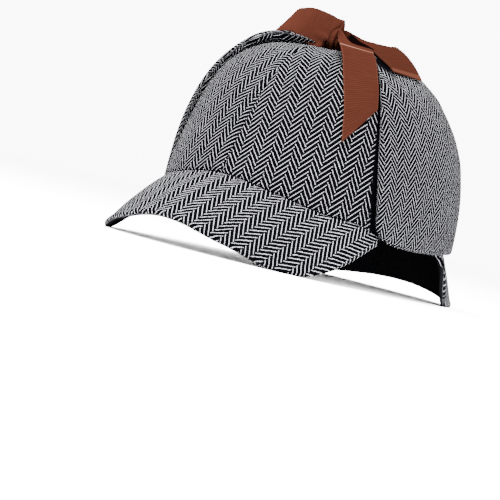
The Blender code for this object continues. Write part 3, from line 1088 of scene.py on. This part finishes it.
@dataclass
class Knot:
    """Inside of the ribbon's knot: a creased lump of gathered ribbon, under the turn around it."""

    centre: tuple = (1.9 * MM, -16.8 * MM, 118.0 * MM)
    size: tuple = (13.0 * MM, 8.0 * MM, 12.4 * MM)
    boxiness: float = 3.2  # 2 is an ellipsoid
    tilt: float = math.radians(12.0)
    creases: int = 3
    crease_depth: float = 0.15  # share of the lump's half size
    crease_slant: float = 2.2
    weave_size: Pair = (16.0 * MM, 6.0 * MM)  # across, and for each radian around
    around: int = 48
    across: int = 24

    def build(self, finish: Material) -> Piece:
        """Model the lump."""
        shape = bmesh.new()
        bmesh.ops.create_uvsphere(shape, u_segments=self.around, v_segments=self.across, radius=0.5)
        layer = shape.loops.layers.uv.new("weave")
        for face in shape.faces:
            for loop in face.loops:
                point = loop.vert.co
                turn = math.atan2(point.y, point.z)
                loop[layer].uv = (point.x * self.weave_size[0], turn * self.weave_size[1])
        for vert in shape.verts:
            direction = Vector(vert.co) / 0.5
            boxy = sum(abs(part) ** self.boxiness for part in direction) ** (-1.0 / self.boxiness)
            crease = math.cos(math.pi * self.creases * direction.x + self.crease_slant * direction.z)
            inward = 1.0 - self.crease_depth * (0.5 + 0.5 * crease) * (1.0 - abs(direction.x))
            vert.co = Vector(part * boxy * inward * 0.5 * size for part, size in zip(direction, self.size))
        tilt = Matrix.Rotation(self.tilt, 3, "Y")
        bmesh.ops.rotate(shape, verts=shape.verts, cent=(0.0, 0.0, 0.0), matrix=tilt)
        bmesh.ops.translate(shape, verts=shape.verts, vec=Vector(self.centre) + Vector(HAT_ORIGIN))
        return add_piece("ribbon_knot_core", shape, [finish], "ribbon_knot", Slot.RIBBON)


# ---- Studio ----


@dataclass
class Studio:
    """White floor, soft lights and the camera."""

    turn: float = math.radians(34.159)  # of the camera, from straight ahead to the wearer's left
    roll: float = math.radians(13.878)
    away: float = 1.2  # from the camera to the hat frame's origin
    focal: float = 1845.3  # pixels
    aim: Pair = (304.68, 224.48)  # pixel of the hat frame's origin
    picture: float = 500.0  # pixels on a side
    sensor: float = 36.0  # millimetres
    floor_half: float = 40.0
    floor_drop: float = 0.2 * MM  # keeps the floor off the flats that the hat rests on
    world_light: float = 10.0
    aim_height: float = 0.08  # of the lights

    def build(self) -> None:
        """Add all of it to the scene."""
        self.add_floor()
        self.add_world()
        self.add_lights()
        self.add_camera()

    def add_floor(self) -> None:
        """A wide pale floor."""
        shape = bmesh.new()
        bmesh.ops.create_grid(shape, x_segments=1, y_segments=1, size=self.floor_half)
        mesh = bpy.data.meshes.new("floor")
        shape.to_mesh(mesh)
        shape.free()
        board = ShaderBoard("floor_paper")
        tone = board.noise(board.object_point(), 3.0).ramp(0.3, 0.7, 0.93, 0.95)
        mesh.materials.append(board.dressed(board.grey(tone), roughness=0.9, specular=0.5))
        floor = bpy.data.objects.new("floor", mesh)
        floor.location.z = -self.floor_drop
        bpy.context.scene.collection.objects.link(floor)

    def add_world(self) -> None:
        """Even white surroundings."""
        world = bpy.data.worlds.new("studio")
        world.use_nodes = True
        background = world.node_tree.nodes["Background"]
        background.inputs["Color"].default_value = (1.0, 1.0, 1.0, 1.0)
        background.inputs["Strength"].default_value = self.world_light
        bpy.context.scene.world = world

    def add_lights(self) -> None:
        """A large soft key above the front, and a weak light at the wearer's left."""
        self.add_light("key_light", (0.1, -0.5, 2.0), size=1.2, power=450.0)
        self.add_light("side_light", (1.4, -0.5, 0.8), size=0.8, power=8.0)

    def add_light(self, name: str, place: tuple, size: float, power: float) -> None:
        """Add one square light that shines at the hat."""
        light = bpy.data.lights.new(name, "AREA")
        light.shape = "SQUARE"
        light.size = size
        light.energy = power
        lamp = bpy.data.objects.new(name, light)
        lamp.location = place
        aim = Vector((0.0, 0.0, self.aim_height)) - Vector(place)
        lamp.rotation_euler = aim.to_track_quat("-Z", "Y").to_euler()
        bpy.context.scene.collection.objects.link(lamp)

    def add_camera(self) -> None:
        """A level camera turned to the wearer's left and rolled, as the photo was taken."""
        right = np.array([math.cos(self.turn), math.sin(self.turn), 0.0])
        back = np.array([math.sin(self.turn), -math.cos(self.turn), 0.0])
        up = np.array([0.0, 0.0, 1.0])
        x_axis = right * math.cos(self.roll) + up * math.sin(self.roll)
        y_axis = up * math.cos(self.roll) - right * math.sin(self.roll)
        centre = self.picture / 2.0
        ahead = -back * self.focal + x_axis * (centre - self.aim[0]) - y_axis * (centre - self.aim[1])
        z_axis = unit(-ahead)
        x_axis = unit(x_axis - z_axis * float(x_axis @ z_axis))
        y_axis = np.cross(z_axis, x_axis)
        camera = bpy.data.cameras.new("camera")
        camera.sensor_width = self.sensor
        camera.lens = self.focal * self.sensor / self.picture
        camera.clip_start = 0.01
        viewer = bpy.data.objects.new("camera", camera)
        pose = Matrix(np.stack([x_axis, y_axis, z_axis], axis=1).tolist()).to_4x4()
        pose.translation = Vector(HAT_ORIGIN + back * self.away)
        viewer.matrix_world = pose
        bpy.context.scene.collection.objects.link(viewer)
        bpy.context.scene.camera = viewer


# ---- The hat ----

FRONT_SECTIONS = (
    (0.0, 43.6 * MM, 35.3 * MM),
    (20.0, 40.9 * MM, 38.2 * MM),
    (35.0, 35.8 * MM, 41.3 * MM),
    (45.0, 29.0 * MM, 38.6 * MM),
    (55.0, 17.5 * MM, 26.6 * MM),
    (62.0, 6.2 * MM, 11.5 * MM),
    (65.0, 2.2 * MM, 5.0 * MM),
)
REAR_SECTIONS = (
    (0.0, 27.0 * MM, 41.5 * MM),
    (20.0, 24.0 * MM, 41.5 * MM),
    (35.0, 17.0 * MM, 41.0 * MM),
    (48.0, 10.5 * MM, 38.6 * MM),
    (56.0, 7.8 * MM, 34.8 * MM),
    (62.0, 6.0 * MM, 24.0 * MM),
    (65.0, 4.0 * MM, 9.0 * MM),
)
RIGHT_FLAP_EDGES = (
    *EarFlap.edges[:6],
    (0.97, 74.0, 114.0),
    (0.985, 80.0, 110.0),
    (1.0, 87.0, 125.0),
)
LEFT_STATIONS = (
    (61.0, -18.5, 104.8, 0.23, 0.97, 0.02, 1.0),
    (58.0, -17.7, 107.2, 0.20, 0.97, 0.08, 1.0),
    (51.0, -16.5, 112.1, 0.14, 0.95, 0.22, 1.0),
    (43.9, -16.2, 116.3, 0.13, 0.95, 0.28, 1.0),
    (37.5, -15.7, 119.2, 0.06, 0.96, 0.28, 1.0),
    (30.1, -14.0, 119.5, -0.04, 0.97, 0.26, 1.0),
    (21.2, -13.1, 120.0, -0.11, 0.95, 0.29, 0.95),
    (13.9, -13.8, 120.9, -0.18, 0.93, 0.33, 0.80),
    (8.3, -15.5, 122.8, -0.20, 0.85, 0.48, 0.54),
    (4.0, -15.7, 124.3, -0.35, 0.72, 0.60, 0.38),
    (0.5, -16.0, 124.8, -0.35, 0.72, 0.60, 0.30),
)
RIGHT_STATIONS = (
    (-61.5, -18.5, 105.2, -0.23, 0.97, 0.02, 1.0),
    (-58.5, -17.5, 107.8, -0.20, 0.97, 0.05, 1.0),
    (-51.5, -15.5, 112.8, -0.14, 0.98, 0.05, 1.0),
    (-43.9, -12.5, 116.8, -0.14, 0.97, -0.02, 1.0),
    (-37.1, -9.3, 118.9, -0.08, 0.97, -0.07, 1.0),
    (-29.6, -7.3, 119.9, 0.00, 0.99, -0.06, 0.90),
    (-20.6, -8.1, 120.2, 0.03, 0.98, -0.04, 0.72),
    (-12.4, -10.4, 120.4, 0.05, 0.97, 0.02, 0.50),
    (-3.8, -13.4, 120.2, 0.05, 0.95, 0.06, 0.34),
)
LOOP_STATIONS = (
    (-20.5, -6.5, 122.4, -0.05, 0.95, 0.22, 0.70),
    (-28.5, -7.8, 123.2, -0.03, 0.92, 0.36, 0.85),
    (-36.5, -11.0, 124.2, 0.00, 0.82, 0.56, 1.0),
    (-41.9, -13.2, 125.6, 0.01, 0.72, 0.69, 1.0),
    (-43.3, -14.0, 126.6, 0.01, 0.71, 0.70, 1.0),
    (-42.3, -14.8, 127.2, 0.01, 0.70, 0.71, 1.0),
    (-38.9, -15.4, 127.6, 0.05, 0.58, 0.81, 0.94),
    (-33.9, -16.4, 127.5, 0.07, 0.43, 0.90, 0.88),
    (-27.9, -17.1, 127.2, 0.10, 0.27, 0.95, 0.90),
    (-21.7, -17.0, 126.4, 0.12, 0.12, 0.98, 0.92),
    (-15.8, -16.9, 125.3, 0.10, 0.10, 0.99, 0.93),
    (-10.4, -16.8, 123.6, 0.05, 0.14, 0.99, 0.98),
    (-4.6, -15.5, 122.8, -0.02, 0.17, 0.99, 0.93),
    (1.5, -12.2, 123.2, -0.30, 0.00, 0.95, 0.84),
)
TAIL_STATIONS = (
    (4.4, -16.9, 123.4, -0.02, 0.87, 0.49, 0.27),
    (10.2, -20.9, 120.7, 0.29, 0.94, 0.19, 0.39),
    (19.7, -28.3, 117.8, 0.50, 0.87, 0.02, 0.64),
    (31.8, -40.0, 115.2, 0.57, 0.82, 0.01, 0.89),
    (35.4, -43.7, 113.8, 0.57, 0.82, 0.01, 0.90),
    (37.6, -45.2, 111.8, 0.57, 0.82, 0.02, 0.90),
    (42.4, -47.3, 105.9, 0.58, 0.81, 0.05, 0.91),
    (47.6, -50.6, 97.6, 0.60, 0.80, 0.10, 0.91),
    (53.4, -54.2, 87.5, 0.61, 0.78, 0.14, 0.90),
    (58.4, -57.4, 77.0, 0.62, 0.77, 0.13, 0.86),
    (62.7, -60.5, 65.2, 0.61, 0.78, 0.12, 0.83),
)
TURN_STATIONS = (
    (-1.5, -10.7, 132.9, 0.80, 0.58, -0.20, 0.10),
    (1.1, -14.3, 128.2, 0.72, 0.68, -0.15, 0.16),
    (1.9, -19.9, 124.2, 0.72, 0.68, -0.12, 0.24),
    (2.6, -22.6, 120.6, 0.72, 0.68, -0.05, 0.27),
    (2.6, -23.2, 116.0, 0.72, 0.68, 0.00, 0.24),
    (1.4, -21.0, 113.4, 0.72, 0.68, 0.00, 0.20),
)
UNDER_TIE = ShadedPatch((48.8 * MM, -22.6 * MM, 136.4 * MM), (0.832, -0.112, -0.542))
# painted shade under the tie's near edge and in the loop's hollow by the knot
TIE_HOLLOW = Hollow(24.0 * MM, 60.0 * MM, along=44.0 * MM, across=0.0, slope=0.6)
LOOP_HOLLOW = Hollow(60.0 * MM, 90.0 * MM, along=66.0 * MM, across=-4.0 * MM, slope=0.3)


def main() -> None:
    """Build the hat's pieces in order, then the studio."""
    logging.basicConfig(level=logging.INFO, format="%(message)s")
    form = CrownForm()
    crown_tweed = HerringboneTweed("crown_tweed", shades=(PaintedCreaseShade(),)).material()
    peak_tweed = HerringboneTweed("peak_tweed", light_from=(0.75, 0.96)).material()
    flap_tweed = HerringboneTweed("flap_tweed").material()
    shaded_tweed = HerringboneTweed("flap_tweed_shaded", shades=(UNDER_TIE,)).material()
    lining = CottonLining("crown_lining").material()
    grosgrain = Grosgrain("brown_grosgrain").material()
    folded = Grosgrain("brown_grosgrain_fold_highlight", fold=43.8 * MM, fold_slope=0.04).material()
    # painted shade: the tie darkened by its tone, since it faces the light, and its hollow painted dark
    shaded = Grosgrain("brown_grosgrain_shaded", tone=0.8, hem=3.6 * MM, hollow=TIE_HOLLOW).material()
    # painted light: the loop brightened by its tone, and its hollow painted dark
    looped = Grosgrain("brown_grosgrain_loop", tone=1.22, hollow=LOOP_HOLLOW).material()
    # painted shade: the knot's core darkened by its tone, as it lies in the hollow under the wrap
    core = Grosgrain("brown_grosgrain_core_painted_shade", tone=0.3).material()
    Crown(form).build(crown_tweed, lining)
    Peak(form, "front_peak_sewn", "front_peak", 0.0, 0.34, FRONT_SECTIONS).build(peak_tweed, lining)
    Peak(form, "rear_peak_sewn", "rear_peak", math.pi, 0.9, REAR_SECTIONS).build(peak_tweed, lining)
    EarFlap(form, Side.LEFT, tip_pinch=0.65).build(shaded_tweed)
    EarFlap(
        form, Side.RIGHT, RIGHT_FLAP_EDGES, tip_radius=11.0 * MM, lift=1.4 * MM, curl=3.4 * MM,
        tip_pinch=0.75, pinch=(0.88, 1.0),
    ).build(flap_tweed)
    Ribbon("ribbon_left_tie", "ribbon_left", LEFT_STATIONS, ("ear_flap_left_padded",)).build(shaded)
    Ribbon("ribbon_right_tie", "ribbon_right", RIGHT_STATIONS, ("ear_flap_right_padded",)).build(grosgrain)
    Ribbon(
        "ribbon_right_loop", "ribbon_right", LOOP_STATIONS, pleat_depth=0.0, pucker=1.0 * MM,
        mesh=(40, 150),
    ).build(looped)
    Ribbon(
        "ribbon_free_tail", "ribbon_tail", TAIL_STATIONS, ("crown_gore_1",), cut=26.0 * MM, pleats=0.9,
        pleat_depth=7.0 * MM, pleat_shift=-0.22,
    ).build(folded)
    Knot().build(core)
    Ribbon(
        "ribbon_knot_wrap", "ribbon_knot", TURN_STATIONS, pleats=1.5, pleat_depth=1.4 * MM, mesh=(40, 60),
    ).model(grosgrain)
    Studio().build()


if __name__ == "__main__":
    main()
